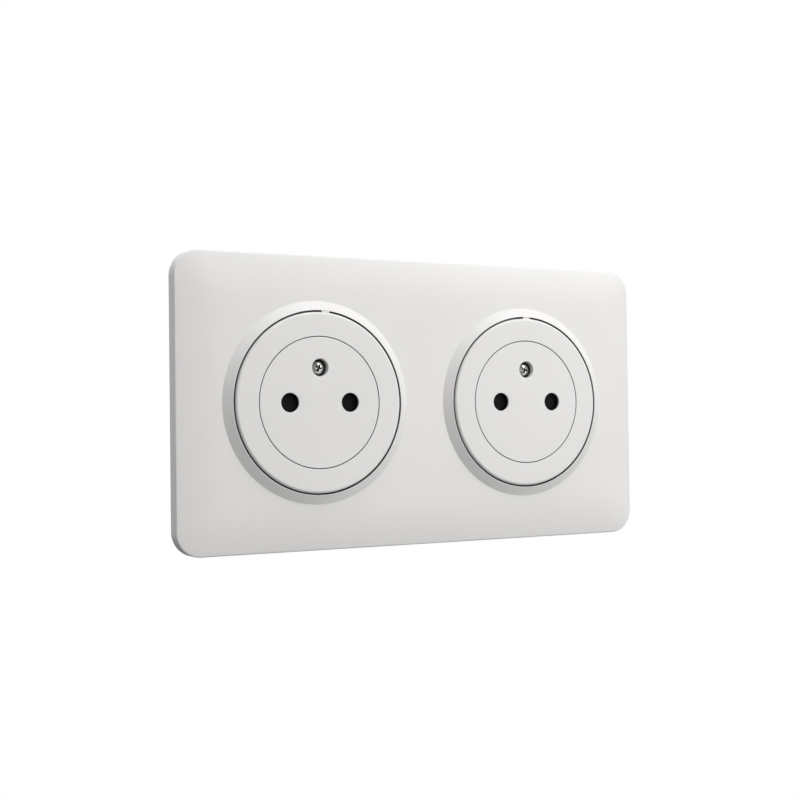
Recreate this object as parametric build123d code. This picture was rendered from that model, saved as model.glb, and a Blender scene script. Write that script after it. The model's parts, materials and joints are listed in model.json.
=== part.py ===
from build123d import *
import math
import os

# A double wall socket: one cover plate over two round two-pin modules, side by side.
# Each module is drawn face up round its own axis: X runs to the right, Y up the wall and Z out of
# the wall, with Z = 0 on the wall and lengths in millimetres. It is stood up when it is written:
# the finished frame has +X to the right, +Z up, and its front faces -Y.

# Layout of the modules and their pins
module_pitch = 71.0
pin_spacing = 19.0
pin_radius = 2.4
pin_length = 19.0
pin_hole_room = 0.3
pin_passage_room = 0.5

# Clearances
fit_gap = 0.05
slip_gap = 0.15
running_gap = 0.2
loose_gap = 0.4

# Cover plate: a shallow shell whose flat face falls away towards its edges
plate_end = 42.5
plate_height = 85.0
plate_corner = 7.2
plate_edge_out = 4.2
plate_face_out = 5.4
plate_fall = 14.0
plate_wall = 2.0
plate_side_wall = 2.2
plate_web = 1.0
plate_rib = 1.2
plate_rib_rise = 0.6

# Collar of each opening in the plate, and the lip that the trim ring clamps
collar_base_radius = 29.2
collar_flank_width = 2.6
collar_rim_width = 0.15
collar_out = 7.0
lip_width = 1.45
lip_thickness = 1.2

# Face of a module: the trim ring and the disc inside it
face_out = 7.4
ring_gap = 0.45
ring_edge_round = 0.8
ring_skirt_wall = 1.6
disc_radius = 18.85
disc_thickness = 1.2
disc_edge_round = 0.12
ledge_width = 1.4
ledge_thickness = 1.0
lug_width = 2.4
lug_drop = 0.25
lug_tip_gap = 0.05
lug_turn = {"left": 4.4, "right": 1.1}

# Screw that holds the face, and its brass insert
screw_up = 10.0
screw_shank_radius = 1.25
screw_length = 10.0
screw_head_radius = 2.25
screw_head_rim = 0.3
screw_head_dome = 1.0
screw_well_radius = 2.5
screw_seat_out = 5.2
screw_boss_radius = 3.2
screw_boss_floor = 1.0
screw_clear = 0.2
recess_length = 2.7
recess_width = 0.62
recess_depth = 0.9
recess_floor_length = 0.9
recess_floor_width = 0.31
recess_turn = {"left": 22.0, "right": 14.0}
insert_radius = 2.1
insert_length = 8.0
insert_sink = 0.2

# Support frame: a square of sheet steel behind the cover plate
frame_side = 69.2
frame_corner = 5.0
frame_thickness = 1.2
frame_opening_radius = 20.2
box_screw_reach = 30.0
box_slot_length = 8.0
box_slot_width = 4.0
box_hole_radius = 2.1
notch_reach = 24.0
notch_width = 5.0
notch_depth = 1.6

# Front cover: the insulating body in front of the frame, with the shutter in its recess
flange_radius = 25.4
flange_thickness = 1.0
boss_radius = 20.0
shutter_recess_radius = 16.5
recess_floor = 2.0
spigot_wall = 3.0
passage_wall = 0.9
corner_boss_radius = 2.6
pillar_below = 5.5

# Shutter: a rotor with two ramped wings on a post
shutter_top_gap = 0.2
shutter_thickness = 2.4
post_radius = 1.5
post_gap = 0.05
hub_radius = 4.6
wing_cover = 0.4
wing_reach = 13.2
wing_round = 0.8
ramp_drop = 1.6
return_leaf_thickness = 0.3
return_leaf_height = 1.4
return_leaf_bend = 1.5
return_leaf_tip_length = 3.0
return_leaf_foot_share = 2 / 3
peg_radius = 0.8
peg_spacing = 2.4

# Base housing and rear cover
base_side = 46.0
base_chamfer = 9.0
base_wall = 1.8
base_deck = 1.6
base_depth = 22.4
rear_cover_thickness = 1.6
rib_thickness = 1.2
chamber_half_height = 8.2
housing_screw_reach = 17.6
housing_screw_radius = 1.25
housing_screw_bite = 3.4
housing_screw_head_radius = 2.4
housing_screw_head_height = 1.5
housing_screw_slot = 0.8
housing_screw_slot_depth = 0.75
pillar_radius = 2.8

# Contacts: a brass strip with two leaves for the pin and a plate for the wires
contact_sheet = 0.6
contact_grip = 0.15
contact_leaf_width = 6.0
contact_front = 0.4
contact_flare = 0.8
contact_flare_length = 1.6
contact_flare_bend = 0.8
contact_tip_room = 1.4
contact_outer_room = 1.5
contact_spring_sheet = 0.4
contact_spring_height = 4.0
contact_spring_from_strip = 3.5
terminal_half_height = 7.2

# Wire entries, clamp springs and release buttons
wire_radius = 1.6
wire_half_spacing = 5.6
clamp_sheet = 0.4
clamp_bend = 0.7
clamp_back_from_wire = 3.0
clamp_rise = 5.6
clamp_reach = 4.2
clamp_end_gap = 0.4
clamp_front_gap = 1.2
button_width = 2.8
button_half_height = 2.9
button_travel = 1.5
button_proud = 0.1
button_stop_height = 0.8
button_stop_width = 0.7
button_side_gap = 0.1

# Heights that follow from the sizes above
ceiling_out = plate_face_out - plate_wall
lip_out = ceiling_out + lip_thickness
disc_back = face_out - disc_thickness
ledge_out = disc_back - ledge_thickness
flange_out = frame_thickness + flange_thickness
screw_boss_out = screw_seat_out - screw_boss_floor
shutter_top = disc_back - shutter_top_gap
shutter_bottom = shutter_top - shutter_thickness
recess_floor_out = shutter_bottom - running_gap
post_out = shutter_top - fit_gap
pin_tip = face_out - pin_length
strip_front = pin_tip - contact_tip_room
strip_back = strip_front - contact_sheet
leaf_front = -base_deck - contact_front
rear_inside = -base_depth
rear_outside = rear_inside - rear_cover_thickness

# Radii and places that follow
pin_reach = pin_spacing / 2
pin_hole_radius = pin_radius + pin_hole_room
pin_passage_radius = pin_radius + pin_passage_room
wing_half_width = pin_hole_radius + wing_cover
collar_top_radius = collar_base_radius - collar_flank_width
collar_bore_radius = collar_top_radius - collar_rim_width
ring_radius = collar_bore_radius - ring_gap
lip_radius = collar_bore_radius - lip_width
skirt_radius = lip_radius - loose_gap
skirt_inner = skirt_radius - ring_skirt_wall
pocket_radius = disc_radius + slip_gap
ledge_radius = pocket_radius - ledge_width
spigot_radius = frame_opening_radius - loose_gap
housing_screw_at = housing_screw_reach * math.sqrt(0.5)
base_inner_side = base_side - 2 * base_wall
terminal_back = base_inner_side / 2 - running_gap
terminal_front = terminal_back - contact_sheet
wire_reach = terminal_front - wire_radius
clamp_back = wire_reach - clamp_back_from_wire
leaf_inner = pin_radius - contact_grip
leaf_outer = leaf_inner + contact_sheet
leaf_from = pin_reach - contact_leaf_width / 2
leaf_to = pin_reach + contact_leaf_width / 2
clip_back = leaf_from - contact_spring_sheet - fit_gap
inner_rib_to = clip_back - loose_gap
inner_rib_from = inner_rib_to - rib_thickness
outer_rib_from = leaf_to + contact_outer_room
outer_rib_to = outer_rib_from + rib_thickness


def drum(radius, low, high, x=0.0, y=0.0):
    """A cylinder that stands out of the wall between two heights."""
    return Pos(x, y, low) * Cylinder(radius, high - low, align=(Align.CENTER, Align.CENTER, Align.MIN))


def bar(x_from, x_to, y_from, y_to, low, high):
    """A block between two corners."""
    size = (x_to - x_from, y_to - y_from, high - low)
    return Pos(x_from, y_from, low) * Box(*size, align=(Align.MIN, Align.MIN, Align.MIN))


def plank(outline, low, high):
    """A flat outline given thickness between two heights."""
    return Pos(0, 0, low) * extrude(outline, high - low)


def turned(points):
    """A solid of revolution about the module's axis, from (radius, height) points."""
    return revolve(make_face(Plane.XZ * Polyline(*points, close=True)), Axis.Z)


def stood_up(shape, x=0.0):
    """Stand a face-up piece against the wall, with its axis at x."""
    return Pos(x, 0, 0) * Rot(90, 0, 0) * shape


def write(name, shape):
    """Save one piece under its own name."""
    os.makedirs("parts", exist_ok=True)
    export_step(shape, f"parts/{name}.step")


# Cover plate


def crown(span, width, edge_out, top_out, fall):
    """A block whose top is flat in the middle of its span and falls away in arcs, on past the span's ends."""
    drop = top_out - edge_out
    radius = (fall**2 + drop**2) / (2 * drop)
    past = fall + plate_wall
    end_out = top_out - radius + math.sqrt(radius**2 - past**2)
    half = span / 2 + plate_wall
    flat = span / 2 - fall
    right = TangentArc((flat, top_out), (half, end_out), tangent=(1, 0))
    left = TangentArc((-flat, top_out), (-half, end_out), tangent=(-1, 0))
    top = Line((-flat, top_out), (flat, top_out))
    sides = Polyline((half, end_out), (half, 0), (-half, 0), (-half, end_out))
    outline = make_face(Plane.XZ * (Curve() + [left, top, right, sides]))
    return extrude(outline, width / 2 + plate_wall, both=True)


def crowned_slab(length, height, corner, edge_out, top_out, fall):
    """A rounded slab, crowned along its length and its height."""
    slab = extrude(RectangleRounded(length, height, corner), top_out)
    along = crown(length, height, edge_out, top_out, fall)
    across = Rot(0, 0, 90) * crown(height, length, edge_out, top_out, fall)
    return slab & along & across


def plate_ribs():
    """The web between the modules, which reaches the wall, and the ribs round the support frames."""
    inner_half = plate_height / 2 - plate_side_wall
    web = bar(-plate_web / 2, plate_web / 2, -inner_half, inner_half, 0, ceiling_out)
    rib_from = frame_side / 2 + loose_gap
    rib_to = rib_from + plate_rib
    end_from = module_pitch / 2 + rib_from
    end_to = end_from + plate_rib
    ribs = web
    for side in (-1, 1):
        ends = sorted((side * end_from, side * end_to))
        rows = sorted((side * rib_from, side * rib_to))
        ribs += bar(*ends, -rib_to, rib_to, plate_rib_rise, ceiling_out)
        ribs += bar(-end_to, end_to, *rows, plate_rib_rise, ceiling_out)
    return ribs


def cover_plate():
    """The plate with its two collared openings, moulded in one."""
    length = module_pitch + 2 * plate_end
    outer = crowned_slab(length, plate_height, plate_corner, plate_edge_out, plate_face_out, plate_fall)
    hollow = crowned_slab(
        length - 2 * plate_side_wall,
        plate_height - 2 * plate_side_wall,
        plate_corner - plate_side_wall,
        plate_edge_out - plate_wall,
        ceiling_out,
        plate_fall - plate_side_wall,
    )
    plate = outer - hollow + (plate_ribs() & outer)
    root_out = plate_face_out - plate_wall / 2
    slope = (collar_base_radius - collar_top_radius) / (collar_out - plate_face_out)
    root_radius = collar_top_radius + slope * (collar_out - root_out)
    collar = turned([(0, root_out), (root_radius, root_out), (collar_top_radius, collar_out), (0, collar_out)])
    for side in (-1, 1):
        well = drum(collar_bore_radius, lip_out, collar_out) + drum(lip_radius, 0, lip_out)
        at_module = Pos(side * module_pitch / 2, 0, 0)
        plate = plate + at_module * collar - at_module * well
    return plate


# Face of a module


def trim_ring(side):
    """The ring round the disc: its shoulder clamps the plate's lip, and a lug bridges the gap above."""
    ring = turned(
        [
            (ledge_radius, ledge_out),
            (skirt_inner, ledge_out),
            (skirt_inner, flange_out + running_gap),
            (skirt_radius, flange_out + running_gap),
            (skirt_radius, lip_out),
            (ring_radius, lip_out),
            (ring_radius, face_out),
            (pocket_radius, face_out),
            (pocket_radius, disc_back),
            (ledge_radius, disc_back),
        ]
    )
    rim = ring.edges().filter_by(GeomType.CIRCLE).group_by(Axis.Z)[-1].sort_by(SortBy.RADIUS)[-1]
    ring = fillet(rim, ring_edge_round)
    lug_half = lug_width / 2
    lug_root = ring_radius - ring_edge_round
    lug = bar(-lug_half, lug_half, lug_root, collar_base_radius, lip_out, face_out - lug_drop)
    lug &= drum(collar_bore_radius - lug_tip_gap, lip_out, face_out)
    return ring + Rot(0, 0, -lug_turn[side]) * lug


def face_insert():
    """The disc with two pin holes and the well of the face screw, with the screw's boss behind it."""
    disc = drum(disc_radius, disc_back, face_out)
    disc = fillet(disc.edges().group_by(Axis.Z)[-1], disc_edge_round)
    disc += drum(screw_boss_radius, screw_boss_out, disc_back, 0, screw_up)
    for pole in (-1, 1):
        disc -= drum(pin_hole_radius, disc_back, face_out, pole * pin_reach)
    disc -= drum(screw_well_radius, screw_seat_out, face_out, 0, screw_up)
    disc -= drum(screw_shank_radius + screw_clear, screw_boss_out, screw_seat_out, 0, screw_up)
    return disc


def face_screw(side):
    """A domed screw with a cross recess."""
    rim_out = screw_seat_out + screw_head_rim
    dome_radius = (screw_head_radius**2 + screw_head_dome**2) / (2 * screw_head_dome)
    dome_centre = rim_out + screw_head_dome - dome_radius
    dome = Pos(0, 0, dome_centre) * Sphere(dome_radius)
    head = drum(screw_head_radius, screw_seat_out, rim_out + screw_head_dome) & dome
    top = rim_out + screw_head_dome
    for turn in (0, 90):
        slot = Rectangle(recess_length, recess_width)
        floor = Rectangle(recess_floor_length, recess_floor_width)
        cut = loft([Pos(0, 0, top) * slot, Pos(0, 0, top - recess_depth) * floor])
        head -= Rot(0, 0, turn - recess_turn[side]) * cut
    shank = drum(screw_shank_radius, screw_seat_out - screw_length, screw_seat_out)
    return Pos(0, screw_up, 0) * (head + shank)


def face_screw_insert():
    """The brass insert that the face screw is driven into."""
    top = screw_boss_out - insert_sink
    body = drum(insert_radius, top - insert_length, top, 0, screw_up)
    return body - drum(screw_shank_radius + fit_gap, top - insert_length, top, 0, screw_up)


# Front cover and support frame


def housing_screw_places():
    """The two housing screws, on one diagonal."""
    return [(housing_screw_at, -housing_screw_at), (-housing_screw_at, housing_screw_at)]


def front_cover():
    """The insulating body that the face and the shutter sit on."""
    cover = drum(flange_radius, frame_thickness, flange_out)
    cover += drum(spigot_radius, 0, frame_thickness) + drum(boss_radius, flange_out, ledge_out)
    cover -= drum(shutter_recess_radius, recess_floor_out, ledge_out)
    cover -= drum(spigot_radius - spigot_wall, 0, recess_floor_out - recess_floor)
    for x, y in housing_screw_places():
        cover += drum(corner_boss_radius, 0, ledge_out, x, y) & drum(boss_radius, 0, ledge_out)
        cover -= drum(housing_screw_radius + fit_gap, 0, housing_screw_bite + running_gap, x, y)
    for pole in (-1, 1):
        x = pole * pin_reach
        cover += drum(pin_passage_radius + passage_wall, 0, recess_floor_out, x)
        cover -= drum(pin_passage_radius, 0, recess_floor_out, x)
    cover += drum(post_radius, recess_floor_out, post_out)
    cover += drum(screw_boss_radius, -pillar_below, screw_boss_out, 0, screw_up)
    insert_back = screw_boss_out - insert_sink - insert_length
    cover -= drum(insert_radius, insert_back, screw_boss_out, 0, screw_up)
    cover -= drum(screw_shank_radius + screw_clear, -pillar_below, insert_back, 0, screw_up)
    for x, y in peg_places():
        cover += drum(peg_radius, recess_floor_out, leaf_bottom() + return_leaf_height, x, y)
    return cover


def support_frame():
    """A sheet steel square with slots for the wall box's screws."""
    frame = plank(RectangleRounded(frame_side, frame_side, frame_corner), 0, frame_thickness)
    frame -= drum(frame_opening_radius, 0, frame_thickness)
    slot = plank(SlotOverall(box_slot_length, box_slot_width), 0, frame_thickness)
    notch = bar(-notch_width / 2, notch_width / 2, 0, notch_depth, 0, frame_thickness)
    for side in (-1, 1):
        frame -= Pos(0, side * box_screw_reach, 0) * slot
        frame -= drum(box_hole_radius, 0, frame_thickness, side * box_screw_reach)
    for quarter in range(4):
        for side in (-1, 1):
            frame -= Rot(0, 0, 90 * quarter) * Pos(side * notch_reach, -frame_side / 2, 0) * notch
    return frame


# Shutter and its return leaf


def shutter_wing():
    """The right-hand wing: its front falls towards the bottom, so that a pin turns it upwards."""
    wing = bar(0, wing_reach, -wing_half_width, wing_half_width, shutter_bottom, shutter_top)
    wing = fillet(wing.edges().filter_by(Axis.Z).group_by(Axis.X)[-1], wing_round)
    ramp = make_face(
        Plane.YZ
        * Polyline(
            (wing_half_width, shutter_top),
            (-wing_half_width, shutter_top - ramp_drop),
            (-wing_half_width, shutter_top),
            close=True,
        )
    )
    ramp_from = hub_radius + running_gap
    return wing - Pos(ramp_from, 0, 0) * extrude(ramp, wing_reach - ramp_from)


def shutter():
    """The rotor that closes both pin passages."""
    rotor = drum(hub_radius, shutter_bottom, shutter_top) + shutter_wing() + Rot(0, 0, 180) * shutter_wing()
    return rotor - drum(post_radius + post_gap, shutter_bottom, shutter_top)


def leaf_bottom():
    """Distance of the return leaf's rear edge from the wall."""
    return recess_floor_out + running_gap


def leaf_foot_y():
    """Height on the wall of the return leaf's straight foot, below the hub."""
    return -(hub_radius + wing_reach) * return_leaf_foot_share


def peg_places():
    """Three pegs that hold the foot of the return leaf between them."""
    offset = peg_radius + return_leaf_thickness / 2 + fit_gap
    foot = leaf_foot_y()
    return [(i * peg_spacing - peg_radius, foot + way * offset) for i, way in enumerate((-1, 1, -1))]


def shutter_spring():
    """The steel leaf that pushes the left-hand wing back up to closed."""
    touch_y = -wing_half_width - running_gap - return_leaf_thickness / 2
    foot = leaf_foot_y()
    tip_x = -wing_reach + wing_round + return_leaf_bend
    points = [
        (tip_x, touch_y),
        (tip_x + return_leaf_tip_length, touch_y),
        (-hub_radius, foot),
        (2 * peg_spacing, foot),
    ]
    path = FilletPolyline(*points, radius=return_leaf_bend)
    outline = trace(path, line_width=return_leaf_thickness)
    return plank(outline, leaf_bottom(), leaf_bottom() + return_leaf_height)


# Base housing and rear cover


def base_outline(side, cut):
    """A square with its corners cut off."""
    outline = Rectangle(side, side)
    return chamfer(outline.vertices(), cut)


def base_housing():
    """The cup behind the frame, open at the rear, with a chamber for each pole."""
    inner_cut = base_chamfer - base_wall * (2 - math.sqrt(2))
    base = plank(base_outline(base_side, base_chamfer), rear_inside, 0)
    base -= plank(base_outline(base_inner_side, inner_cut), rear_inside, -base_deck)
    half = base_inner_side / 2 + base_wall / 2
    for side in (-1, 1):
        wall_y = sorted((side * chamber_half_height, side * (chamber_half_height + rib_thickness)))
        for pole in (-1, 1):
            wall_x = sorted((pole * inner_rib_from, pole * half))
            base += bar(*wall_x, *wall_y, rear_inside, -base_deck)
    for pole in (-1, 1):
        for low_x, high_x in ((inner_rib_from, inner_rib_to), (outer_rib_from, outer_rib_to)):
            rib_x = sorted((pole * low_x, pole * high_x))
            base += bar(*rib_x, -chamber_half_height, chamber_half_height, strip_front, -base_deck)
        base -= drum(pin_passage_radius, -base_deck, 0, pole * pin_reach)
    for x, y in housing_screw_places():
        base += drum(pillar_radius, rear_inside, -base_deck, x, y)
        base -= drum(housing_screw_radius + screw_clear, rear_inside, 0, x, y)
    return base - drum(screw_boss_radius + running_gap, -base_deck, 0, 0, screw_up)


def button_window():
    """Half width and half height of a release button's window."""
    return button_width / 2 + button_side_gap, button_half_height + button_side_gap


def rear_cover():
    """The lid behind the terminals, with the wire entries and the release buttons' windows."""
    cover = plank(base_outline(base_side, base_chamfer), rear_outside, rear_inside)
    half_x, half_y = button_window()
    rib_front = strip_back - loose_gap
    for pole in (-1, 1):
        for row in (-1, 1):
            place = (pole * wire_reach, row * wire_half_spacing)
            cover -= drum(wire_radius, rear_outside, rear_inside, *place)
        window_x = sorted((pole * (wire_reach - half_x), pole * (wire_reach + half_x)))
        cover -= bar(*window_x, -half_y, half_y, rear_outside, rear_inside)
        back = clamp_back - clamp_sheet / 2 - fit_gap
        rib_x = sorted((pole * back, pole * (back - rib_thickness)))
        cover += bar(*rib_x, -terminal_half_height, terminal_half_height, rear_inside, rib_front)
    for x, y in housing_screw_places():
        cover -= drum(housing_screw_radius + screw_clear, rear_outside, rear_inside, x, y)
    return cover


def housing_screws():
    """The two long screws that clamp the rear cover, base, frame and front cover together."""
    screws = []
    head_back = rear_outside - housing_screw_head_height
    for x, y in housing_screw_places():
        screw = drum(housing_screw_head_radius, head_back, rear_outside, x, y)
        screw += drum(housing_screw_radius, rear_outside, housing_screw_bite, x, y)
        half_slot = housing_screw_slot / 2
        slot_floor = head_back + housing_screw_slot_depth
        reach = housing_screw_head_radius
        screw -= bar(x - reach, x + reach, y - half_slot, y + half_slot, head_back, slot_floor)
        screws.append(screw)
    return Compound(screws)


# Contacts, springs and release buttons of the right-hand pole; the other pole is turned half way round


def contact():
    """A brass strip with two leaves that grip the pin and a plate that the wires press against."""
    leaf_middle = leaf_inner + contact_sheet / 2
    strip = bar(inner_rib_from, terminal_back, -leaf_outer, leaf_outer, strip_back, strip_front)
    strip += bar(outer_rib_from, terminal_back, -terminal_half_height, terminal_half_height, strip_back, strip_front)
    strip += bar(
        terminal_front,
        terminal_back,
        -terminal_half_height,
        terminal_half_height,
        rear_inside + loose_gap,
        strip_front,
    )
    path = FilletPolyline(
        (leaf_middle, strip_back + contact_sheet / 2),
        (leaf_middle, leaf_front - contact_flare_length),
        (leaf_middle + contact_flare, leaf_front),
        radius=contact_flare_bend,
    )
    leaf = Pos(leaf_from, 0, 0) * extrude(Plane.YZ * trace(path, line_width=contact_sheet), contact_leaf_width)
    return strip + leaf + mirror(leaf, Plane.XZ)


def contact_spring():
    """A steel clip round the two leaves, which keeps their grip."""
    arm_inner = leaf_outer + fit_gap
    arm_outer = arm_inner + contact_spring_sheet
    low = strip_front + contact_spring_from_strip
    high = low + contact_spring_height
    back_to = clip_back + contact_spring_sheet
    clip = bar(clip_back, leaf_to - running_gap, -arm_outer, arm_outer, low, high)
    return clip - bar(back_to, leaf_to, -arm_inner, arm_inner, low, high)


def clamp_leg(x):
    """Height of the clamp spring's slanted leg at a distance x from its back."""
    return rear_inside + clamp_end_gap + x * clamp_rise / clamp_reach


def clamp_spring():
    """A V of spring steel whose slanted leg bites on the wires and lets them in."""
    path = FilletPolyline(
        (clamp_back, strip_back - clamp_front_gap),
        (clamp_back, clamp_leg(0)),
        (clamp_back + clamp_reach, clamp_leg(clamp_reach)),
        radius=clamp_bend,
    )
    outline = make_face(Plane.XZ * trace(path, line_width=clamp_sheet).wire())
    return extrude(outline, terminal_half_height, both=True)


def release_button():
    """The button that lifts the clamp spring off the wires, with a stop behind the rear cover."""
    low_x = wire_reach - button_width / 2
    high_x = wire_reach + button_width / 2
    slant = math.hypot(clamp_rise, clamp_reach) / clamp_reach
    below_leg = (clamp_sheet / 2 + loose_gap) * slant
    thumb = rear_outside - button_travel - button_proud
    nose = make_face(
        Plane.XZ
        * Polyline(
            (low_x, thumb),
            (high_x, thumb),
            (high_x, clamp_leg(high_x - clamp_back) - below_leg),
            (low_x, clamp_leg(low_x - clamp_back) - below_leg),
            close=True,
        )
    )
    button = extrude(nose, button_half_height, both=True)
    stop_half = button_half_height + button_stop_width
    stop_low = rear_inside + running_gap
    return button + bar(wire_reach, high_x, -stop_half, stop_half, stop_low, stop_low + button_stop_height)


write("cover_plate", stood_up(cover_plate()))

for side, x in (("left", -module_pitch / 2), ("right", module_pitch / 2)):
    pieces = {
        "support_frame": support_frame(),
        "base_housing": base_housing(),
        "rear_cover": rear_cover(),
        "front_cover": front_cover(),
        "housing_screws": housing_screws(),
        "shutter": shutter(),
        "shutter_spring": shutter_spring(),
        "trim_ring": trim_ring(side),
        "face_insert": face_insert(),
        "face_screw": face_screw(side),
        "face_screw_insert": face_screw_insert(),
    }
    for pole, turn in (("line", 0), ("neutral", 180)):
        half_turn = Rot(0, 0, turn)
        pieces[f"{pole}_contact"] = half_turn * contact()
        pieces[f"{pole}_contact_spring"] = half_turn * contact_spring()
        pieces[f"{pole}_clamp_spring"] = half_turn * clamp_spring()
        pieces[f"{pole}_release_button"] = half_turn * release_button()
    for name, piece in pieces.items():
        write(f"{side}_{name}", stood_up(piece, x))
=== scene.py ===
import json
import math

import bmesh
import bpy
from mathutils import Matrix, Vector


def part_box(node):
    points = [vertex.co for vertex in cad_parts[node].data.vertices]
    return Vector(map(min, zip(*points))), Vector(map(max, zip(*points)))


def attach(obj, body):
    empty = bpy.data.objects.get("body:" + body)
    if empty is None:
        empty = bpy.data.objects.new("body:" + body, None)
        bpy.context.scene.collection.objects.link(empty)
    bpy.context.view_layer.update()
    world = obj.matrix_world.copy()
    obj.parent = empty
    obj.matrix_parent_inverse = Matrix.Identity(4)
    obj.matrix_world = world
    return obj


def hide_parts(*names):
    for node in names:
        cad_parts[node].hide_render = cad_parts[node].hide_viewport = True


# The looks of a double wall socket: one satin white cover plate over two round two-pin modules.
# Sizes are millimetres until at() turns them into the frame's metres. A place is given as its
# distance to the right, up the wall and out of the wall, where the wall is the plane y = 0.
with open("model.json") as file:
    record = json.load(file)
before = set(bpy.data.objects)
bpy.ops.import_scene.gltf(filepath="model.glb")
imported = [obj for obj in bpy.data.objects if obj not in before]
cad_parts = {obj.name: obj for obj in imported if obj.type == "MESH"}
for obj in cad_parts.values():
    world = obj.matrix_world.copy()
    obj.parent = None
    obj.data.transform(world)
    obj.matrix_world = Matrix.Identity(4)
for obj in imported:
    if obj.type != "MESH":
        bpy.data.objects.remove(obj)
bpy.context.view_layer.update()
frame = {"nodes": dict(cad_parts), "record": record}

MM = 0.001
SIDES = ("left", "right")
SLOT_OF = {part["node"]: part["material_slot"] for part in frame["record"]["subparts"]}
BODY_OF = {node: body for body, nodes in frame["record"]["behaviour"]["bodies"].items() for node in nodes}


def span(node, axis):
    """Lowest and highest place of a node along one axis, in millimetres."""
    lo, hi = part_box(node)
    return lo[axis] / MM, hi[axis] / MM


def out_of(node):
    """How far a node's front and back lie out of the wall, in millimetres."""
    lo, hi = span(node, 1)
    return -lo, -hi


def middle_x(node):
    """Place of a node's middle, to the right, in millimetres."""
    return sum(span(node, 0)) / 2


def half_width(node):
    """Half of a node's width, in millimetres."""
    lo, hi = span(node, 0)
    return (hi - lo) / 2


# Sizes that the frame gives
PLATE_HALF_X = half_width("cover_plate")
PLATE_HALF_UP = span("cover_plate", 2)[1]
COLLAR_OUT = out_of("cover_plate")[0]
MODULE_X = {side: middle_x(f"{side}_face_insert") for side in SIDES}
RING_RADIUS = half_width("left_trim_ring")
FACE_OUT, RING_BACK = out_of("left_trim_ring")
DISC_RADIUS = half_width("left_face_insert")
BOSS_BACK = out_of("left_face_insert")[1]
SCREW_HEAD_RADIUS = half_width("left_face_screw")
SCREW_UP = sum(span("left_face_screw", 2)) / 2
SCREW_TOP, SCREW_TIP = out_of("left_face_screw")

# Cover plate, with its collars and the lip inside each
PLATE_CORNER = 7.2
PLATE_EDGE_OUT = 4.2
PLATE_FACE_OUT = 5.4
PLATE_FALL = 14.0
PLATE_WALL = 2.0
PLATE_SIDE_WALL = 2.2
PLATE_EDGE_ROUND = 0.55
PLATE_EDGE_ARC = math.radians(80.0)
PLATE_RIM_ROUND = 0.2
PLATE_INNER_ROUND = 0.4
CORNER_POWER = 4
COLLAR_BASE = 29.2
COLLAR_TOP = 26.6
COLLAR_BORE = 26.45
COLLAR_FILLET = 0.3
COLLAR_EDGE = 0.06
LIP_RADIUS = 25.0
LIP_OUT = 4.6
CEILING_OUT = PLATE_FACE_OUT - PLATE_WALL
FACE_INSET = PLATE_EDGE_ROUND * (1 - math.cos(PLATE_EDGE_ARC))
CEILING_INSET = PLATE_SIDE_WALL + PLATE_INNER_ROUND

# Web and ribs behind the plate
WEB_HALF = 0.5
RIB = 1.2
RIB_RISE = 0.6
RIB_FROM = 35.0
RIB_SINK = 0.6

# Trim ring
SMALL_EDGE = 0.1
RING_EDGE = 0.8
RING_SKIRT = (23.0, 24.6)
RING_LEDGE = 17.6
RING_LEDGE_OUT = 5.2
POCKET_RADIUS = 19.05
POCKET_EDGE = 0.1
LUG_HALF = 1.2
LUG_DROP = 0.25
LUG_TURN = {"left": 4.4, "right": 1.1}
LUG_GAP = 0.05

# Disc with its pin holes and the screw's well
DISC_BACK = 6.2
DISC_EDGE = 0.12
DISC_SHRINK = 0.09
PIN_REACH = 9.5
PIN_HOLE = 2.78
PIN_HOLE_RELIEF = 0.8
WELL_RADIUS = 2.57
WELL_FLOOR = 5.2
BOSS_RADIUS = 3.2
SHANK_HOLE = 1.45
CUTTER_PAST = 1.0

# Face screw
HEAD_RIM = 0.3
HEAD_EDGE = 0.04
SHANK_RADIUS = 1.25
RECESS_LENGTH = 2.7
RECESS_WIDTH = 0.62
RECESS_DEPTH = 0.9
RECESS_FLOOR = (0.9, 0.31)
RECESS_TURN = {"left": 22.0, "right": 14.0}
CUTTER_GROWTH = 1.2
CUTTER_RISE = 0.2
THREAD_DEPTH = 0.22
THREAD_PITCH = 0.6
THREAD_SLOPE = 2.4
THREAD_FREE = 1.2
TIP_SHARE = 0.35
TIP_PITCHES = 1.5

# Housing screws
CLAMP_HEAD_RADIUS = 2.4
CLAMP_HEAD_HEIGHT = 1.5
CLAMP_HEAD_ROUND = 0.3
CLAMP_SCREW_RADIUS = 1.25
CLAMP_TIP_ROUND = 0.3
CLAMP_SLOT = 0.8
CLAMP_SLOT_DEPTH = 0.75
CLAMP_EDGE = 0.03

# Edge roundings of the pieces that keep the frame's own shape
EDGES = {
    "shutter": 0.15,
    "front_cover": 0.15,
    "support_frame": 0.12,
    "base_housing": 0.25,
    "rear_cover": 0.2,
    "line_release_button": 0.2,
    "neutral_release_button": 0.2,
}

# Fineness of the meshes, and the angles, in degrees, from which an edge no longer counts as flat or
# as soft
ROUND_STEPS = 256
HOLE_STEPS = 96
CORNER_STEPS = 4
PLATE_STEP = 1.25
PLATE_CORNER_STEPS = 18
EDGE_STEPS = 6
RIM_STEPS = 3
FACE_STEPS = 26
CEILING_STEPS = 12
MIDDLE_STEPS = 68
DOME_STEPS = 14
THREAD_AROUND = 40
THREAD_ALONG = 10
EDGE_SEGMENTS = 2
WELD = 0.0005 * MM
FLAT_ANGLE = 0.5
SHARP_ANGLE = 35.0
RECESS_SHARP = 30.0
SCREW_SHARP = 50.0

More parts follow.
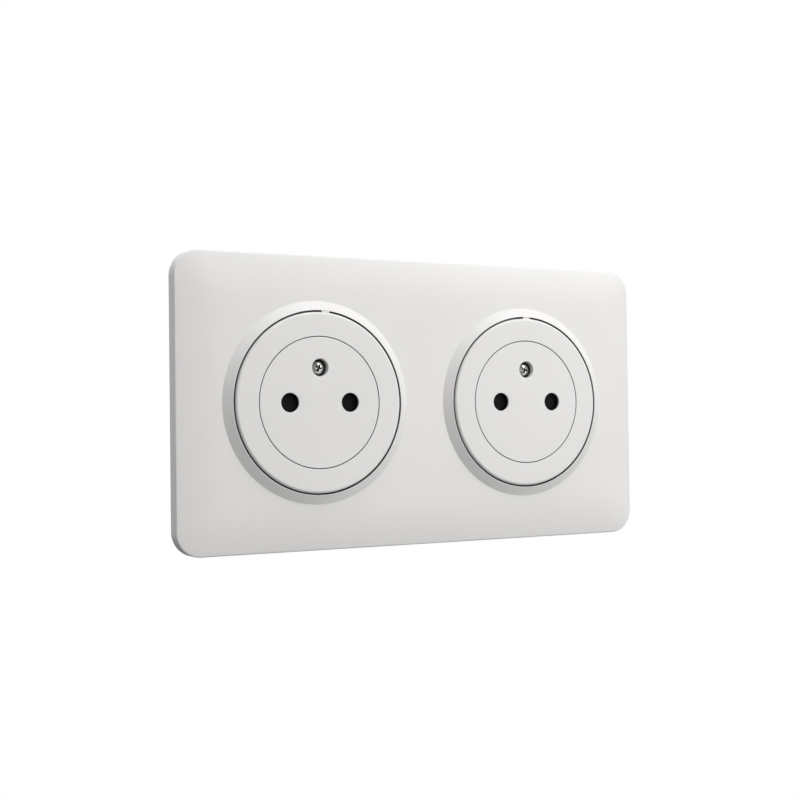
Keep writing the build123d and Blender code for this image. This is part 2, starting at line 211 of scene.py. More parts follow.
# Camera: the photograph's own viewpoint
CAMERA_YAW = 28.87
CAMERA_PITCH = -1.08
CAMERA_ROLL = -0.74
CAMERA_TARGET = (-9.63, -7.4, 0.65)
CAMERA_DISTANCE = 391.7
PICTURE_SIDE = 800
FOCAL_PIXELS = 1326.8
SENSOR = 36.0
NEAREST_SEEN = 10.0

# Textures: grains in each metre, the range that a noise mostly keeps within, and no stretch at all
PLASTIC_CLOUDS = 30.0
METAL_CLOUDS = 120.0
GLOSS_CLOUDS = 160.0
NOISE_LOW = 0.3
NOISE_HIGH = 0.7
EVEN = (1.0, 1.0, 1.0)

# Painted crevice shade: how far it looks for open sky, and the open shares at which the painted shade is
# full and at which it ends
CREVICE_SHADE_SAMPLES = 8
GAP_CREVICE_SHADE = {"reach": 1.3, "full": 0.25, "none": 0.62}
WELL_CREVICE_SHADE = {"reach": 1.2, "full": 0.5, "none": 0.9}

# Which inputs and output of a mixing node carry its share and its colours
MIX_SHARE = 0
MIX_FIRST = 6
MIX_SECOND = 7
MIX_RESULT = 2

# Studio, in metres and watts: each softbox has its place, width, height and power
SKY_LIGHT = 0.15
FLOOR_HALF = 12.0
FLOOR_DROP = 0.9
WHITE = (1.0, 1.0, 1.0, 1.0)
FLOOR_GREY = (0.5, 0.5, 0.5, 1.0)
SOFTBOXES = {
    "key": ((0.62, -1.0, 0.95), 0.35, 0.35, 2.9),
    "top": ((0.1, -0.35, 1.1), 0.9, 0.6, 5.5),
    "front": ((-0.1, -1.3, 0.1), 0.9, 0.9, 1.4),
    "right_front": ((0.75, -0.95, 0.15), 0.7, 0.9, 4.1),
    "right_near": ((0.38, -0.32, 0.34), 0.3, 0.3, 1.0),
    "right_low": ((0.8, -0.6, -0.6), 0.7, 0.7, 1.6),
    "left_up": ((-0.7, -0.6, 0.8), 0.7, 0.7, 2.7),
    "left_back": ((-0.6, 0.6, 0.8), 0.7, 0.7, 6.9),
    "right_back": ((0.6, 1.1, 0.5), 0.8, 0.8, 5.0),
}


# Camera


def aim_camera():
    """Put the camera where the photograph was taken from."""
    yaw, pitch, roll = (math.radians(v) for v in (CAMERA_YAW, CAMERA_PITCH, CAMERA_ROLL))
    ahead = Vector((math.sin(yaw) * math.cos(pitch), math.cos(yaw) * math.cos(pitch), -math.sin(pitch)))
    right = Vector((math.cos(yaw), -math.sin(yaw), 0.0))
    up = right.cross(ahead)
    right, up = (
        right * math.cos(roll) + up * math.sin(roll),
        up * math.cos(roll) - right * math.sin(roll),
    )
    data = bpy.data.cameras.new("camera")
    data.sensor_width = SENSOR
    data.lens = FOCAL_PIXELS / PICTURE_SIDE * SENSOR
    data.clip_start = NEAREST_SEEN * MM
    camera = bpy.data.objects.new("camera", data)
    bpy.context.scene.collection.objects.link(camera)
    place = (Vector(CAMERA_TARGET) - ahead * CAMERA_DISTANCE) * MM
    turn = Matrix((right, up, -ahead)).transposed()
    camera.matrix_world = Matrix.Translation(place) @ turn.to_4x4()
    bpy.context.scene.camera = camera


# Mesh tools


def at(x, up, out):
    """A point of the frame from millimetres to the right, up the wall and out of the wall."""
    return Vector((x, -out, up)) * MM


def solid(name, points, faces):
    """A new object from points and faces, welded, with its faces turned outward."""
    bm = bmesh.new()
    corners = [bm.verts.new(p) for p in points]
    for face in faces:
        bm.faces.new([corners[i] for i in face])
    bmesh.ops.remove_doubles(bm, verts=bm.verts, dist=WELD)
    bmesh.ops.recalc_face_normals(bm, faces=bm.faces)
    mesh = bpy.data.meshes.new(name)
    bm.to_mesh(mesh)
    bm.free()
    piece = bpy.data.objects.new(name, mesh)
    bpy.context.scene.collection.objects.link(piece)
    return piece


def rounded(corners):
    """The points of a closed outline whose (a, b, radius) corners are rounded."""
    points = []
    for i, (a, b, radius) in enumerate(corners):
        here = Vector((a, b))
        if radius == 0:
            points.append((a, b))
            continue
        before = (Vector(corners[i - 1][:2]) - here).normalized()
        after = (Vector(corners[(i + 1) % len(corners)][:2]) - here).normalized()
        half = before.angle(after) / 2
        centre = here + (before + after).normalized() * radius / math.sin(half)
        first = here + before * radius / math.tan(half) - centre
        last = here + after * radius / math.tan(half) - centre
        start = math.atan2(first.y, first.x)
        turn = (math.atan2(last.y, last.x) - start + math.pi) % (2 * math.pi) - math.pi
        for step in range(CORNER_STEPS + 1):
            angle = start + turn * step / CORNER_STEPS
            points.append((centre.x + radius * math.cos(angle), centre.y + radius * math.sin(angle)))
    return points


def lathe(name, profile, x=0.0, up=0.0, steps=ROUND_STEPS):
    """A solid turned about an axis that points out of the wall, from a closed (radius, out) outline."""
    points, faces = [], []
    count = len(profile)
    for i in range(steps):
        angle = 2 * math.pi * i / steps
        for radius, out in profile:
            points.append(at(x + radius * math.sin(angle), up + radius * math.cos(angle), out))
        following = (i + 1) % steps
        for k in range(count):
            m = (k + 1) % count
            faces.append((i * count + k, following * count + k, following * count + m, i * count + m))
    return solid(name, points, faces)


def block(name, x_span, up_span, out_span):
    """A closed block between two corners."""
    points = [at(x, up, out) for x in x_span for up in up_span for out in out_span]
    faces = [(0, 1, 3, 2), (4, 6, 7, 5), (0, 4, 5, 1), (2, 3, 7, 6), (0, 2, 6, 4), (1, 5, 7, 3)]
    return solid(name, points, faces)


def applied(piece):
    """Turn a piece's modifiers into its own mesh."""
    bpy.context.view_layer.update()
    made = bpy.data.meshes.new_from_object(piece.evaluated_get(bpy.context.evaluated_depsgraph_get()))
    old = piece.data
    piece.modifiers.clear()
    piece.data = made
    bpy.data.meshes.remove(old)
    return piece


def combine(piece, other, operation):
    """Join another closed solid to a piece, or cut it away."""
    tool = piece.modifiers.new("combine", "BOOLEAN")
    tool.solver = "MANIFOLD"
    tool.operation = operation
    tool.object = other
    applied(piece)
    bpy.data.objects.remove(other)
    return piece


def turn_about(piece, degrees, x, up=0.0):
    """Turn a piece clockwise, as seen from the front, about an axis that points out of the wall."""
    centre = Matrix.Translation(at(x, up, 0))
    turn = Matrix.Rotation(math.radians(degrees), 4, "Y")
    piece.data.transform(centre @ turn @ centre.inverted())
    return piece


def soften(piece, edge=0.0, sharp=SHARP_ANGLE):
    """Round a piece's sharp edges and let the flat faces keep their own shading."""
    if edge:
        bevel = piece.modifiers.new("edges", "BEVEL")
        bevel.width = edge * MM
        bevel.segments = EDGE_SEGMENTS
        bevel.limit_method = "ANGLE"
        bevel.angle_limit = math.radians(sharp)
        bevel.miter_outer = "MITER_ARC"
        applied(piece)
    piece.data.shade_smooth()
    piece.data.set_sharp_from_angle(angle=math.radians(sharp))
    weighted = piece.modifiers.new("shading", "WEIGHTED_NORMAL")
    weighted.keep_sharp = True
    return piece


def dress(piece, node):
    """Let a finished piece stand for a node, on the node's body and with its material."""
    slot = SLOT_OF[node]
    piece.data.materials.clear()
    piece.data.materials.append(MATERIALS[slot])
    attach(piece, BODY_OF[node])
    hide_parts(node)


def bare_copy(node):
    """A new object with a node's own shape: welded, and with flat faces in one piece."""
    mesh = frame["nodes"][node].data
    points = [v.co.copy() for v in mesh.vertices]
    faces = [tuple(p.vertices) for p in mesh.polygons]
    piece = solid(f"{node}_piece", points, faces)
    bm = bmesh.new()
    bm.from_mesh(piece.data)
    bmesh.ops.dissolve_limit(bm, angle_limit=math.radians(FLAT_ANGLE), verts=bm.verts, edges=bm.edges)
    bm.to_mesh(piece.data)
    bm.free()
    return piece


# Materials


def new_material(name, metallic, roughness):
    """An empty material, its shader and the coordinates that its textures follow."""
    material = bpy.data.materials.new(name)
    material.use_nodes = True
    nodes = material.node_tree.nodes
    shader = nodes["Principled BSDF"]
    shader.inputs["Metallic"].default_value = metallic
    shader.inputs["Roughness"].default_value = roughness
    place = nodes.new("ShaderNodeTexCoord").outputs["Object"]
    return material, shader, place


def noise(material, place, per_metre, detail=2.0, stretch=EVEN):
    """A noise whose grains are about one over per_metre wide."""
    nodes, links = material.node_tree.nodes, material.node_tree.links
    mapping = nodes.new("ShaderNodeMapping")
    mapping.inputs["Scale"].default_value = stretch
    links.new(place, mapping.inputs["Vector"])
    texture = nodes.new("ShaderNodeTexNoise")
    texture.inputs["Scale"].default_value = per_metre
    texture.inputs["Detail"].default_value = detail
    links.new(mapping.outputs["Vector"], texture.inputs["Vector"])
    return texture.outputs["Fac"]


def blend_colours(material, share, first, second):
    """A colour between two, by a share that a texture gives."""
    nodes, links = material.node_tree.nodes, material.node_tree.links
    ramp = nodes.new("ShaderNodeValToRGB")
    start, end = ramp.color_ramp.elements
    start.position = NOISE_LOW
    end.position = NOISE_HIGH
    start.color = (*first, 1.0)
    end.color = (*second, 1.0)
    links.new(share, ramp.inputs["Fac"])
    return ramp.outputs["Color"]


def rescale(material, value, from_low, from_high, low, high):
    """A value that runs between two limits, brought between two others."""
    nodes, links = material.node_tree.nodes, material.node_tree.links
    ranged = nodes.new("ShaderNodeMapRange")
    ranged.inputs["From Min"].default_value = from_low
    ranged.inputs["From Max"].default_value = from_high
    ranged.inputs["To Min"].default_value = low
    ranged.inputs["To Max"].default_value = high
    links.new(value, ranged.inputs["Value"])
    return ranged.outputs["Result"]


def relief(material, height, depth):
    """The normal of a surface with a fine relief of a given depth in millimetres."""
    nodes, links = material.node_tree.nodes, material.node_tree.links
    bump = nodes.new("ShaderNodeBump")
    bump.inputs["Strength"].default_value = 1.0
    bump.inputs["Distance"].default_value = depth * MM
    links.new(height, bump.inputs["Height"])
    return bump.outputs["Normal"]


def painted_crevice_shade(material, colour, crevice_shade_colour, reach, full, none):
    """A colour darkened by painted shade in narrow gaps and recesses, where little of the sky is open within
    reach, in millimetres. The painted shade is darkest where the open share is full, and there is none of it
    at none."""
    nodes, links = material.node_tree.nodes, material.node_tree.links
    # Ambient occlusion decides where the painted shade falls.
    sky = nodes.new("ShaderNodeAmbientOcclusion")
    sky.samples = CREVICE_SHADE_SAMPLES
    sky.inputs["Distance"].default_value = reach * MM
    mixed = nodes.new("ShaderNodeMix")
    mixed.data_type = "RGBA"
    links.new(rescale(material, sky.outputs["AO"], full, none, 1.0, 0.0), mixed.inputs[MIX_SHARE])
    links.new(colour, mixed.inputs[MIX_FIRST])
    mixed.inputs[MIX_SECOND].default_value = (*crevice_shade_colour, 1.0)
    return mixed.outputs[MIX_RESULT]


def moulded_plastic(name, pale, dark, roughness, grain=2200.0, depth=0.004, crevice_shade_colour=None, gloss=0.5):
    """Moulded plastic: a faint clouding of its colour and gloss, and a very fine eroded grain."""
    material, shader, place = new_material(name, 0.0, roughness[0])
    shader.inputs["Specular IOR Level"].default_value = gloss
    links = material.node_tree.links
    colour = blend_colours(material, noise(material, place, PLASTIC_CLOUDS), dark, pale)
    if crevice_shade_colour:
        # Painted shade darkens the colour in narrow gaps between the parts.
        colour = painted_crevice_shade(material, colour, crevice_shade_colour, **GAP_CREVICE_SHADE)
    links.new(colour, shader.inputs["Base Color"])
    shine = noise(material, place, GLOSS_CLOUDS)
    links.new(rescale(material, shine, NOISE_LOW, NOISE_HIGH, *roughness), shader.inputs["Roughness"])
    fine = noise(material, place, grain, detail=3.0)
    links.new(relief(material, fine, depth), shader.inputs["Normal"])
    return material


def plated_metal(name, pale, dark, roughness, grain=900.0, depth=0.003, crevice_shade_colour=None, stretch=EVEN):
    """Metal: a colour that clouds a little, and a grain drawn out along the direction of rolling."""
    material, shader, place = new_material(name, 1.0, roughness[0])
    links = material.node_tree.links
    colour = blend_colours(material, noise(material, place, METAL_CLOUDS, detail=4.0), dark, pale)
    if crevice_shade_colour:
        # Painted shade darkens the colour in narrow recesses.
        colour = painted_crevice_shade(material, colour, crevice_shade_colour, **WELL_CREVICE_SHADE)
    links.new(colour, shader.inputs["Base Color"])
    drawn = noise(material, place, grain, detail=3.0, stretch=stretch)
    links.new(rescale(material, drawn, NOISE_LOW, NOISE_HIGH, *roughness), shader.inputs["Roughness"])
    links.new(relief(material, drawn, depth), shader.inputs["Normal"])
    return material


MATERIALS = {
    "plate_plastic": moulded_plastic(
        "plate_plastic",
        pale=(0.8, 0.788, 0.774),
        dark=(0.786, 0.774, 0.76),
        roughness=(0.36, 0.42),
        # The colour of the painted shade in narrow gaps
        crevice_shade_colour=(0.03, 0.028, 0.026),
    ),
    "module_plastic": moulded_plastic(
        "module_plastic",
        pale=(0.8, 0.789, 0.775),
        dark=(0.786, 0.775, 0.761),
        roughness=(0.4, 0.46),
        grain=2600.0,
        # The colour of the painted shade in narrow gaps
        crevice_shade_colour=(0.03, 0.028, 0.026),
    ),
    "insulator": moulded_plastic(
        "insulator",
        pale=(0.062, 0.064, 0.067),
        dark=(0.052, 0.054, 0.057),
        roughness=(0.45, 0.52),
        grain=1500.0,
        depth=0.03,
    ),
    "shutter_plastic": moulded_plastic(
        "shutter_plastic",
        pale=(0.005, 0.005, 0.0052),
        dark=(0.0035, 0.0035, 0.0035),
        roughness=(0.5, 0.6),
        grain=1800.0,
        gloss=0.08,
    ),
    "button_plastic": moulded_plastic(
        "button_plastic",
        pale=(0.78, 0.27, 0.05),
        dark=(0.7, 0.22, 0.04),
        roughness=(0.38, 0.48),
        grain=1800.0,
    ),
    "frame_steel": plated_metal(
        "frame_steel",
        pale=(0.8, 0.8, 0.785),
        dark=(0.74, 0.745, 0.735),
        roughness=(0.3, 0.4),
        grain=6000.0,
        depth=0.002,
        stretch=(0.04, 1.0, 1.0),
    ),
    "spring_steel": plated_metal(
        "spring_steel",
        pale=(0.68, 0.69, 0.71),
        dark=(0.6, 0.61, 0.63),
        roughness=(0.22, 0.3),
        grain=6000.0,
        depth=0.002,
        stretch=(1.0, 0.06, 1.0),
    ),
    "screw_steel": plated_metal(
        "screw_steel",
        pale=(0.78, 0.77, 0.75),
        dark=(0.72, 0.71, 0.69),
        roughness=(0.16, 0.22),
        depth=0.001,
        # The colour of the painted shade in the cross recess
        crevice_shade_colour=(0.05, 0.05, 0.05),
    ),
    "brass": plated_metal(
        "brass",
        pale=(0.83, 0.63, 0.3),
        dark=(0.76, 0.56, 0.25),
        roughness=(0.24, 0.34),
        grain=5000.0,
        stretch=(1.0, 0.06, 1.0),
    ),
}


# Cover plate


def crown(x, up, inset, top, edge):
    """How far out a face lies that is flat in its middle and falls away in an arc towards its edges."""
    fall, drop = PLATE_FALL - inset, top - edge
    radius = (fall**2 + drop**2) / (2 * drop)
    past_x = max(0.0, abs(x) - PLATE_HALF_X + PLATE_FALL)
    past_up = max(0.0, abs(up) - PLATE_HALF_UP + PLATE_FALL)
    past = (past_x**CORNER_POWER + past_up**CORNER_POWER) ** (1 / CORNER_POWER)
    return top - radius + math.sqrt(radius**2 - past**2)


def face_height(x, up):
    """How far out the plate's face lies at a place."""
    return crown(x, up, 0.0, PLATE_FACE_OUT, PLATE_EDGE_OUT)


def ceiling_height(x, up):
    """How far out the inner side of the plate's face lies at a place."""
    return crown(x, up, PLATE_SIDE_WALL, CEILING_OUT, PLATE_EDGE_OUT - PLATE_WALL)


def spread(start, end):
    """Evenly spaced numbers from start to end, both included, about one plate step apart."""
    count = max(1, round(abs(end - start) / PLATE_STEP))
    return [start + (end - start) * i / count for i in range(count + 1)]


def between(start, end, share):
    """The point at a share of the way from start to end."""
    return tuple(s + (e - s) * share for s, e in zip(start, end))


def inward(point, normal, inset):
    """A point moved from the plate's edge towards its inside."""
    return tuple(p - n * inset for p, n in zip(point, normal))


def quarter_arc(radius):
    """(Run, rise) places on a quarter circle, from upright at its start to level at its end."""
    angles = [math.pi / 2 * i / RIM_STEPS for i in range(RIM_STEPS + 1)]
    return [(radius * (1 - math.cos(a)), radius * (1 - math.sin(a))) for a in angles]


def corner_turn(x, up, start):
    """Corner centre and outward direction along a quarter turn, clockwise from an angle in degrees."""
    stations = []
    for i in range(1, PLATE_CORNER_STEPS):
        angle = math.radians(start - 90.0 * i / PLATE_CORNER_STEPS)
        stations.append(((x, up), (math.cos(angle), math.sin(angle))))
    return stations


def half_outline():
    """Stations round the left half of the plate, clockwise from the lower end of the middle line. Each
    gives its point and outward direction on an outline that lies one corner radius inside the edge."""
    x, up = PLATE_CORNER - PLATE_HALF_X, PLATE_HALF_UP - PLATE_CORNER
    bottom = [((along, -up), (0.0, -1.0)) for along in spread(0.0, x)]
    left = [((x, along), (-1.0, 0.0)) for along in spread(-up, up)]
    top = [((along, up), (0.0, 1.0)) for along in spread(x, 0.0)]
    return bottom + corner_turn(x, -up, 270.0) + left + corner_turn(x, up, 180.0) + top


def collar_profile():
    """The section of a collar and its lip, from the ceiling inside round to the plate's face."""
    corners = [
        (COLLAR_BASE + 2 * COLLAR_FILLET, PLATE_FACE_OUT, 0),
        (COLLAR_BASE, PLATE_FACE_OUT, COLLAR_FILLET),
        (COLLAR_TOP, COLLAR_OUT, COLLAR_EDGE),
        (COLLAR_BORE, COLLAR_OUT, COLLAR_EDGE),
        (COLLAR_BORE, LIP_OUT, SMALL_EDGE),
        (LIP_RADIUS, LIP_OUT, SMALL_EDGE),
        (LIP_RADIUS, CEILING_OUT, SMALL_EDGE),
        (LIP_RADIUS + 2 * SMALL_EDGE, CEILING_OUT, 0),
    ]
    return rounded(corners)[::-1]


def edge_section(outer, normal):
    """(Inset, out) rows of the plate's edge at one station: round edge, rim and inner corner."""
    foot = face_height(*inward(outer, normal, FACE_INSET)) - PLATE_EDGE_ROUND * math.sin(PLATE_EDGE_ARC)
    rows = []
    for i in range(EDGE_STEPS + 1):
        angle = PLATE_EDGE_ARC * (1 - i / EDGE_STEPS)
        rows.append((PLATE_EDGE_ROUND * (1 - math.cos(angle)), foot + PLATE_EDGE_ROUND * math.sin(angle)))
    rim = quarter_arc(PLATE_RIM_ROUND)
    rows += rim
    rows += [(PLATE_SIDE_WALL - inset, out) for inset, out in reversed(rim)]
    ceiling = ceiling_height(*inward(outer, normal, CEILING_INSET))
    rows += [(PLATE_SIDE_WALL + inset, ceiling - drop) for inset, drop in quarter_arc(PLATE_INNER_ROUND)]
    return rows


def edge_station(corner, normal):
    """Where a column meets the plate's edge: the edge itself, the ends of the face and the ceiling, and
    the points in between."""
    outer = tuple(c + n * PLATE_CORNER for c, n in zip(corner, normal))
    rows = edge_section(outer, normal)[1:-1]
    edge = [at(*inward(outer, normal, inset), out) for inset, out in rows]
    return outer, inward(outer, normal, FACE_INSET), inward(outer, normal, CEILING_INSET), edge


def middle_station(share, edge_rows):
    """The same where a column meets the middle line, which has no edge, so its points stay empty."""
    ends = [(0.0, share * (PLATE_HALF_UP - inset)) for inset in (0.0, FACE_INSET, CEILING_INSET)]
    return (*ends, [None] * edge_rows)


def half_plate():
    """The left half of the plate, open along the middle line: columns of points that run from the lip
    over the collar and the face, round the edge and back along the ceiling."""
    stations = [edge_station(*station) for station in half_outline()]
    edge_rows = len(stations[0][-1])
    for i in range(1, MIDDLE_STEPS):
        stations.append(middle_station(1 - 2 * i / MIDDLE_STEPS, edge_rows))
    centre = MODULE_X["left"]
    collar = collar_profile()
    columns = []
    for outer, face_end, ceiling_end, edge in stations:
        angle = math.atan2(outer[1], outer[0] - centre)
        direction = (math.cos(angle), math.sin(angle))
        ring = [(centre + r * direction[0], r * direction[1]) for r, _ in collar]
        column = [at(*place, out) for place, (_, out) in zip(ring, collar)]
        for i in range(1, FACE_STEPS + 1):
            place = between(ring[-1], face_end, i / FACE_STEPS)
            column.append(at(*place, face_height(*place)))
        column += edge
        for i in range(CEILING_STEPS):
            place = between(ceiling_end, ring[0], i / CEILING_STEPS)
            column.append(at(*place, ceiling_height(*place)))
        columns.append(column)
    return columns


def plate_shell():
    """The plate with its two collars: the left half and its mirror image, sewn along the middle line."""
    points, faces = [], []
    columns = half_plate()
    for mirrored in (1, -1):
        index = []
        for column in columns:
            row = []
            for p in column:
                row.append(None if p is None else len(points))
                if p is not None:
                    points.append(Vector((p.x * mirrored, p.y, p.z)))
            index.append(row)
        for a, b in zip(index, index[1:] + index[:1]):
            for i in range(len(a)):
                j = (i + 1) % len(a)
                face = (a[i], b[i], b[j], a[j])
                if None not in face:
                    faces.append(face if mirrored == 1 else face[::-1])
    return solid("cover_plate_piece", points, faces)


def cover_plate():
    """The plate's shell with the web and ribs behind it."""
    plate = plate_shell()
    inner_half = PLATE_HALF_UP - PLATE_SIDE_WALL + RIB_SINK
    top = CEILING_OUT + RIB_SINK
    rib_to = RIB_FROM + RIB
    ends = [MODULE_X["right"] + v for v in (RIB_FROM, rib_to)]
    bars = [((-WEB_HALF, WEB_HALF), (-inner_half, inner_half), (0.0, top))]
    for way in (-1, 1):
        bars.append((sorted(way * v for v in ends), (-rib_to, rib_to), (RIB_RISE, top)))
        bars.append(((-ends[1], ends[1]), sorted(way * v for v in (RIB_FROM, rib_to)), (RIB_RISE, top)))
    for spans in bars:
        combine(plate, block("rib", *spans), "UNION")
    return plate


# Face of a module


def trim_ring(side):
    """The ring round the disc, with its ledge and skirt and the lug at its top."""
    x = MODULE_X[side]
    profile = rounded(
        [
            (RING_LEDGE, RING_LEDGE_OUT, SMALL_EDGE),
            (RING_SKIRT[0], RING_LEDGE_OUT, SMALL_EDGE),
            (RING_SKIRT[0], RING_BACK, SMALL_EDGE),
            (RING_SKIRT[1], RING_BACK, SMALL_EDGE),
            (RING_SKIRT[1], LIP_OUT, SMALL_EDGE),
            (RING_RADIUS, LIP_OUT, SMALL_EDGE),
            (RING_RADIUS, FACE_OUT, RING_EDGE),
            (POCKET_RADIUS, FACE_OUT, POCKET_EDGE),
            (POCKET_RADIUS, DISC_BACK, SMALL_EDGE),
            (RING_LEDGE, DISC_BACK, SMALL_EDGE),
        ]
    )
    ring = lathe(f"{side}_trim_ring_piece", profile, x)
    lug = block(
        "lug",
        (x - LUG_HALF, x + LUG_HALF),
        (RING_RADIUS - RING_EDGE, COLLAR_BORE - LUG_GAP),
        (LIP_OUT, FACE_OUT - LUG_DROP),
    )
    soften(lug, SMALL_EDGE)
    lug = turn_about(applied(lug), LUG_TURN[side], x)
    return combine(ring, lug, "UNION")


def hole(radius, low, high, x, up, edge, back_edge=0.0):
    """A cutter for a round hole whose front rim, and back rim if asked, is rounded."""
    wide, past = radius + edge + CUTTER_PAST, high + CUTTER_PAST
    front = [(radius, high, edge), (wide, high, 0), (wide, past, 0), (0.0, past, 0)]
    back = [(0.0, low, 0), (radius, low, 0)]
    if back_edge:
        wide, past = radius + back_edge + CUTTER_PAST, low - CUTTER_PAST
        back = [(0.0, past, 0), (wide, past, 0), (wide, low, 0), (radius, low, back_edge)]
    return lathe("hole", rounded(back + front), x, up, HOLE_STEPS)


def face_insert(side):
    """The disc with two pin holes and the well of the face screw."""
    x = MODULE_X[side]
    profile = rounded(
        [
            (0.0, DISC_BACK, 0),
            (DISC_RADIUS, DISC_BACK, SMALL_EDGE),
            (DISC_RADIUS, FACE_OUT - 2 * DISC_EDGE, 0),
            (DISC_RADIUS - DISC_SHRINK, FACE_OUT, DISC_EDGE),
            (0.0, FACE_OUT, 0),
        ]
    )
    disc = lathe(f"{side}_face_insert_piece", profile, x)
    boss_top = (DISC_BACK + FACE_OUT) / 2
    boss = rounded(
        [
            (0.0, BOSS_BACK, 0),
            (BOSS_RADIUS, BOSS_BACK, SMALL_EDGE),
            (BOSS_RADIUS, boss_top, 0),
            (0.0, boss_top, 0),
        ]
    )
    combine(disc, lathe("boss", boss, x, SCREW_UP, HOLE_STEPS), "UNION")
    for way in (-1, 1):
        pin = hole(PIN_HOLE, DISC_BACK, FACE_OUT, x + way * PIN_REACH, 0.0, SMALL_EDGE, PIN_HOLE_RELIEF)
        combine(disc, pin, "DIFFERENCE")
    combine(disc, hole(WELL_RADIUS, WELL_FLOOR, FACE_OUT, x, SCREW_UP, DISC_EDGE), "DIFFERENCE")
    shank = hole(SHANK_HOLE, BOSS_BACK, WELL_FLOOR, x, SCREW_UP, SMALL_EDGE, SMALL_EDGE)
    return combine(disc, shank, "DIFFERENCE")


# Screws


def recess_arm(x, turn):
    """A cutter for one arm of the cross recess, which tapers to its floor and stands out of the head."""
    half_length, half_slot = RECESS_LENGTH / 2, RECESS_WIDTH / 2
    floor = (RECESS_FLOOR[0] / 2, RECESS_FLOOR[1] / 2, SCREW_TOP - RECESS_DEPTH)
    mouth = (half_length, half_slot, SCREW_TOP)
    above = (half_length * CUTTER_GROWTH, half_slot * CUTTER_GROWTH, SCREW_TOP + CUTTER_RISE * RECESS_DEPTH)
    points, faces = [], []
    for a, b, out in (floor, mouth, above):
        points += [at(x + sx * a, SCREW_UP + sy * b, out) for sx, sy in ((-1, -1), (1, -1), (1, 1), (-1, 1))]
    for level in (0, 4):
        for k in range(4):
            m = (k + 1) % 4
            faces.append((level + k, level + m, level + m + 4, level + k + 4))
    faces += [(3, 2, 1, 0), (8, 9, 10, 11)]
    return turn_about(solid("recess", points, faces), turn, x, SCREW_UP)


def threaded_shank(x, tip, top):
    """The face screw's shank: a thread from its tapered tip up to a smooth stretch below the head."""
    rings = round((top - tip) / THREAD_PITCH * THREAD_ALONG)
    points, faces = [], []
    for i in range(rings + 1):
        out = tip + (top - tip) * i / rings
        depth = THREAD_DEPTH if out < top - THREAD_FREE else 0.0
        taper = min(1.0, TIP_SHARE + (out - tip) / (TIP_PITCHES * THREAD_PITCH))
        for k in range(THREAD_AROUND):
            angle = 2 * math.pi * k / THREAD_AROUND
            phase = ((out - tip) / THREAD_PITCH - k / THREAD_AROUND) % 1.0
            groove = min(1.0, THREAD_SLOPE * abs(phase - 0.5))
            r = (SHANK_RADIUS - depth * groove) * taper
            points.append(at(x + r * math.sin(angle), SCREW_UP + r * math.cos(angle), out))
    for i in range(rings):
        row, following = i * THREAD_AROUND, (i + 1) * THREAD_AROUND
        for k in range(THREAD_AROUND):
            m = (k + 1) % THREAD_AROUND
            faces.append((row + k, row + m, following + m, following + k))
    faces.append(tuple(range(THREAD_AROUND)))
    faces.append(tuple(rings * THREAD_AROUND + k for k in reversed(range(THREAD_AROUND))))
    return solid("shank", points, faces)


def face_screw(side):
    """The domed screw with a cross recess, and its threaded shank."""
    x = MODULE_X[side]
    seat = WELL_FLOOR
    dome = SCREW_TOP - (seat + HEAD_RIM)
    radius = (SCREW_HEAD_RADIUS**2 + dome**2) / (2 * dome)
    reach = math.asin(SCREW_HEAD_RADIUS / radius)
    profile = [(0.0, seat), (SCREW_HEAD_RADIUS - SMALL_EDGE, seat), (SCREW_HEAD_RADIUS, seat + SMALL_EDGE)]
    for i in range(DOME_STEPS + 1):
        angle = reach * (1 - i / DOME_STEPS)
        profile.append((radius * math.sin(angle), SCREW_TOP - radius * (1 - math.cos(angle))))
    screw = lathe(f"{side}_face_screw_piece", profile, x, SCREW_UP, HOLE_STEPS)
    for quarter_turn in (0.0, 90.0):
        combine(screw, recess_arm(x, RECESS_TURN[side] + quarter_turn), "DIFFERENCE")
    soften(screw, HEAD_EDGE, RECESS_SHARP)
    shank = threaded_shank(x, SCREW_TIP, seat + HEAD_RIM / 2)
    return combine(applied(screw), shank, "UNION")


def housing_screws(side):
    """The two slotted screws, on one diagonal, that clamp the housing together."""
    node = f"{side}_housing_screws"
    tip, back = out_of(node)
    seat = back + CLAMP_HEAD_HEIGHT
    reach = half_width(node) - CLAMP_HEAD_RADIUS
    profile = rounded(
        [
            (0.0, back, 0),
            (CLAMP_HEAD_RADIUS, back, CLAMP_HEAD_ROUND),
            (CLAMP_HEAD_RADIUS, seat, SMALL_EDGE),
            (CLAMP_SCREW_RADIUS, seat, 0),
            (CLAMP_SCREW_RADIUS, tip, CLAMP_TIP_ROUND),
            (0.0, tip, 0),
        ]
    )
    pair = []
    for way in (1, -1):
        x, up = MODULE_X[side] + way * reach, -way * reach
        screw = lathe(f"{node}_piece", profile, x, up, HOLE_STEPS)
        slot_x = (x - 2 * CLAMP_HEAD_RADIUS, x + 2 * CLAMP_HEAD_RADIUS)
        slot_up = (up - CLAMP_SLOT / 2, up + CLAMP_SLOT / 2)
        slot_out = (back - CLAMP_SLOT_DEPTH, back + CLAMP_SLOT_DEPTH)
        pair.append(combine(screw, block("slot", slot_x, slot_up, slot_out), "DIFFERENCE"))
    screws = combine(*pair, "UNION")
    return applied(soften(screws, CLAMP_EDGE, RECESS_SHARP))


# Studio


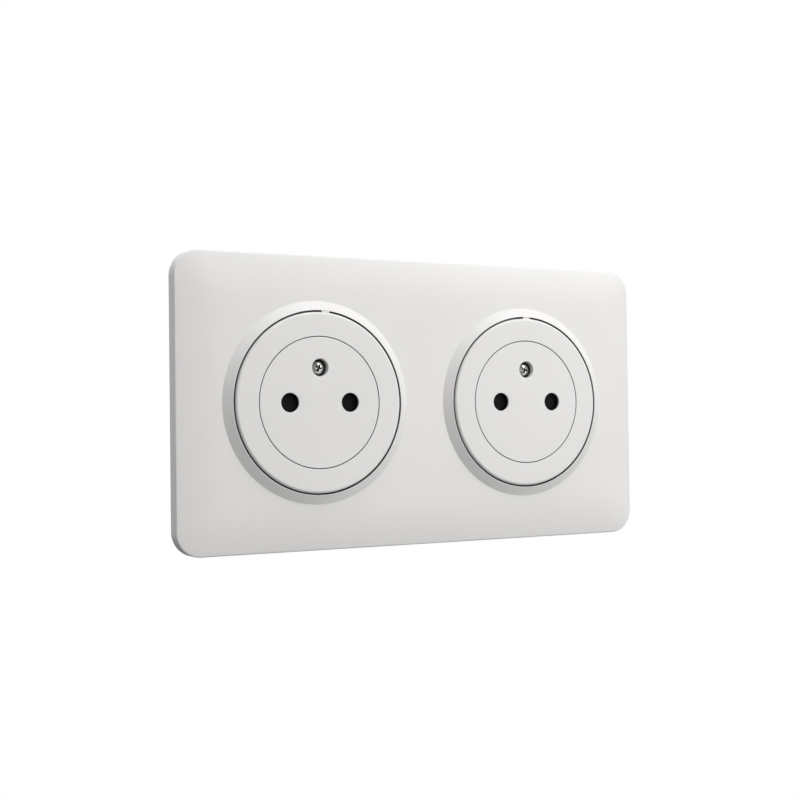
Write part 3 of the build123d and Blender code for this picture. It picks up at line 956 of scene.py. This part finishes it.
def studio_world():
    """White behind the object, and a soft light from all round it."""
    world = bpy.data.worlds.new("studio")
    bpy.context.scene.world = world
    world.use_nodes = True
    nodes, links = world.node_tree.nodes, world.node_tree.links
    nodes.clear()
    seen = nodes.new("ShaderNodeBackground")
    lit = nodes.new("ShaderNodeBackground")
    path = nodes.new("ShaderNodeLightPath")
    mixed = nodes.new("ShaderNodeMixShader")
    result = nodes.new("ShaderNodeOutputWorld")
    seen.inputs["Color"].default_value = WHITE
    lit.inputs["Color"].default_value = WHITE
    lit.inputs["Strength"].default_value = SKY_LIGHT
    links.new(path.outputs["Is Camera Ray"], mixed.inputs["Fac"])
    links.new(lit.outputs[0], mixed.inputs[1])
    links.new(seen.outputs[0], mixed.inputs[2])
    links.new(mixed.outputs[0], result.inputs["Surface"])


def studio_floor():
    """A plain white floor far below the object."""
    mesh = bpy.data.meshes.new("floor")
    around = ((-1, -1), (1, -1), (1, 1), (-1, 1))
    corners = [(sx * FLOOR_HALF, sy * FLOOR_HALF, -FLOOR_DROP) for sx, sy in around]
    mesh.from_pydata(corners, [], [(0, 1, 2, 3)])
    floor = bpy.data.objects.new("floor", mesh)
    bpy.context.scene.collection.objects.link(floor)
    material = bpy.data.materials.new("floor")
    material.use_nodes = True
    nodes, links = material.node_tree.nodes, material.node_tree.links
    nodes.clear()
    matte = nodes.new("ShaderNodeBsdfDiffuse")
    glow = nodes.new("ShaderNodeEmission")
    path = nodes.new("ShaderNodeLightPath")
    mixed = nodes.new("ShaderNodeMixShader")
    result = nodes.new("ShaderNodeOutputMaterial")
    matte.inputs["Color"].default_value = FLOOR_GREY
    links.new(path.outputs["Is Camera Ray"], mixed.inputs["Fac"])
    links.new(matte.outputs[0], mixed.inputs[1])
    links.new(glow.outputs[0], mixed.inputs[2])
    links.new(mixed.outputs[0], result.inputs["Surface"])
    mesh.materials.append(material)


def softbox(name, place, width, height, power):
    """A rectangular light that faces the object."""
    data = bpy.data.lights.new(name, "AREA")
    data.shape = "RECTANGLE"
    data.size, data.size_y = width, height
    data.energy = power
    light = bpy.data.objects.new(name, data)
    bpy.context.scene.collection.objects.link(light)
    light.location = place
    light.rotation_euler = (-Vector(place)).to_track_quat("-Z", "Y").to_euler()
    light.visible_camera = False


# Everything in its place

aim_camera()

dress(soften(cover_plate()), "cover_plate")
for side in SIDES:
    dress(soften(trim_ring(side)), f"{side}_trim_ring")
    dress(soften(face_insert(side)), f"{side}_face_insert")
    dress(soften(face_screw(side), sharp=SCREW_SHARP), f"{side}_face_screw")
    dress(soften(housing_screws(side), sharp=SCREW_SHARP), f"{side}_housing_screws")
for side in SIDES:
    for name, edge in EDGES.items():
        dress(soften(bare_copy(f"{side}_{name}"), edge), f"{side}_{name}")

for node, shown in frame["nodes"].items():
    if not shown.hide_render:
        shown.data.materials.clear()
        shown.data.materials.append(MATERIALS[SLOT_OF[node]])

studio_world()
studio_floor()
for name, box in SOFTBOXES.items():
    softbox(name, *box)
bpy.context.scene.view_settings.view_transform = "Standard"
